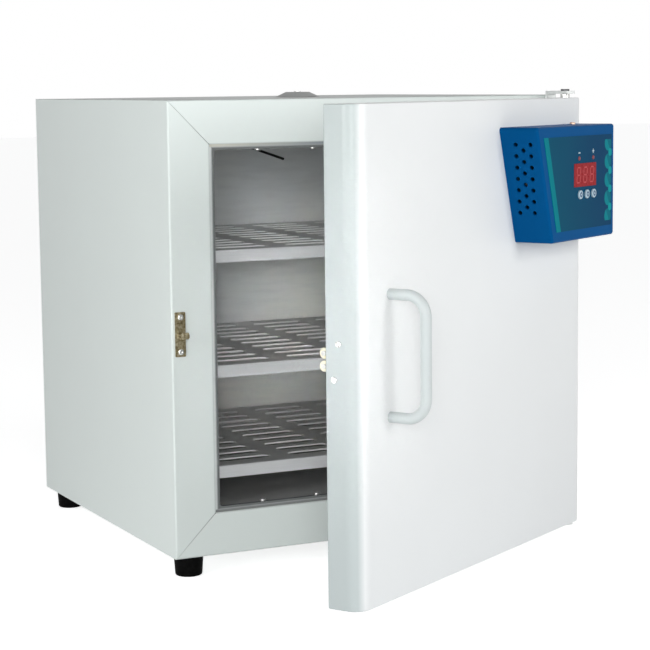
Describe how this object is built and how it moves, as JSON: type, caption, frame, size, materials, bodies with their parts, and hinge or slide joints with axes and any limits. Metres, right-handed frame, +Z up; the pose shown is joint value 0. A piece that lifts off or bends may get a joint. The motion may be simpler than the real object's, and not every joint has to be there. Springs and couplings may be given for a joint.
{
  "type": "laboratory drying oven",
  "caption": "Bench-top drying oven with a hinged insulated door, roller catch, slotted shelves, vented control housing with display and keys, and rubber feet.",
  "frame": {"origin": "on the floor under the middle of the cabinet's footprint", "axes": "+Z up, -Y out of the chamber towards the door, +X to the right as seen from the front"},
  "size_m": [0.4542, 0.7049, 0.4779],
  "materials": {
    "white_paint": "white powder coat, satin",
    "liner_paint": "grey heat-proof coat",
    "shelf_steel": "satin steel sheet",
    "plated_steel": "zinc plated",
    "dark_steel": "dark steel",
    "strike_bronze": "aged bronze",
    "black_rubber": "moulded black rubber",
    "grey_rubber": "grey silicone rubber",
    "cream_nylon": "cream nylon",
    "black_plastic": "black plastic",
    "blue_plastic": "blue moulded plastic",
    "label_film": "printed film, satin",
    "red_filter": "red display filter",
    "red_lamp": "red lamp body",
    "grey_button": "light grey plastic",
    "board": "circuit board laminate",
    "mineral_wool": "mineral wool batt",
    "element_sheath": "heat-tinted sheath",
    "vent_grey": "grey coat"
  },
  "bodies": {
    "cabinet": {"casing_top": "white_paint", "casing_left": "white_paint", "casing_bottom": "white_paint", "casing_right": "white_paint", "rear_panel": "white_paint", "hinge_bracket_top": "white_paint", "hinge_bracket_bottom": "white_paint", "rear_screws": "plated_steel", "liner_rivets": "plated_steel", "strike_screws": "plated_steel", "hinge_screws": "plated_steel", "foot_screws": "plated_steel", "vent_pivot": "plated_steel", "hinge_pins": "dark_steel", "probe": "dark_steel", "cable_gland": "black_plastic", "gland_nut": "black_plastic", "probe_bush": "black_plastic", "foot_front_left": "black_rubber", "foot_front_right": "black_rubber", "foot_rear_left": "black_rubber", "foot_rear_right": "black_rubber", "liner": "liner_paint", "shelf_rails": "liner_paint", "heating_element": "element_sheath", "element_straps": "element_sheath", "insulation": "mineral_wool", "vent_tube": "vent_grey", "strike": "strike_bronze"},
    "vent_cap": {"vent_cap": "vent_grey"},
    "shelf_bottom": {"shelf_bottom": "shelf_steel"},
    "shelf_middle": {"shelf_middle": "shelf_steel"},
    "shelf_top": {"shelf_top": "shelf_steel"},
    "door": {"door_skin": "white_paint", "door_inner_panel": "white_paint", "handle": "white_paint", "inner_panel_screws": "plated_steel", "handle_screws": "plated_steel", "catch_body": "plated_steel", "catch_screws": "plated_steel", "guide_rod": "plated_steel", "housing_screws": "plated_steel", "housing_backplate": "plated_steel", "hinge_bushes": "plated_steel", "door_gasket": "grey_rubber", "door_insulation": "mineral_wool", "control_housing": "blue_plastic", "control_label": "label_film", "display_window": "red_filter", "indicator_lamps": "red_lamp", "circuit_board": "board"},
    "carriage_upper": {"carriage_upper": "plated_steel"},
    "roller_upper": {"roller_upper": "cream_nylon"},
    "carriage_lower": {"carriage_lower": "plated_steel"},
    "roller_lower": {"roller_lower": "cream_nylon"},
    "button_left": {"button_left": "grey_button"},
    "button_middle": {"button_middle": "grey_button"},
    "button_right": {"button_right": "grey_button"}
  },
  "joints": [
    {"name": "door_hinge", "type": "hinge", "parent": "cabinet", "child": "door", "pos_m": [0.2135, -0.233, 0], "axis": [0, 0, 1], "range_deg": [-30.6, 134.4]},
    {"name": "shelf_bottom_slide", "type": "slide", "parent": "cabinet", "child": "shelf_bottom", "axis": [0, -1, 0], "range_m": [0, 0.04]},
    {"name": "shelf_middle_slide", "type": "slide", "parent": "cabinet", "child": "shelf_middle", "axis": [0, -1, 0], "range_m": [0, 0.04]},
    {"name": "shelf_top_slide", "type": "slide", "parent": "cabinet", "child": "shelf_top", "axis": [0, -1, 0], "range_m": [0, 0.04]},
    {"name": "vent_cap_turn", "type": "hinge", "parent": "cabinet", "child": "vent_cap", "pos_m": [0, -0.034, 0.4715], "axis": [0, 0, 1], "range_deg": [0, 90]},
    {"name": "carriage_upper_slide", "type": "slide", "parent": "door", "child": "carriage_upper", "axis": [0, 0, 1], "range_m": [0, 0.003], "stiffness_N_per_m": 1500, "springref_m": -0.002},
    {"name": "roller_upper_spin", "type": "hinge", "parent": "carriage_upper", "child": "roller_upper", "pos_m": [-0.1625, -0.43016, 0.2508], "axis": [0.8607, 0.509, 0], "continuous": true},
    {"name": "carriage_lower_slide", "type": "slide", "parent": "door", "child": "carriage_lower", "axis": [0, 0, -1], "range_m": [0, 0.003], "stiffness_N_per_m": 1500, "springref_m": -0.002},
    {"name": "roller_lower_spin", "type": "hinge", "parent": "carriage_lower", "child": "roller_lower", "pos_m": [-0.1625, -0.43016, 0.2392], "axis": [0.8607, 0.509, 0], "continuous": true},
    {"name": "button_left_press", "type": "slide", "parent": "door", "child": "button_left", "axis": [-0.509, 0.8607, 0], "range_m": [0, 0.001], "stiffness_N_per_m": 600, "springref_m": -0.0005},
    {"name": "button_middle_press", "type": "slide", "parent": "door", "child": "button_middle", "axis": [-0.509, 0.8607, 0], "range_m": [0, 0.001], "stiffness_N_per_m": 600, "springref_m": -0.0005},
    {"name": "button_right_press", "type": "slide", "parent": "door", "child": "button_right", "axis": [-0.509, 0.8607, 0], "range_m": [0, 0.001], "stiffness_N_per_m": 600, "springref_m": -0.0005}
  ]
}
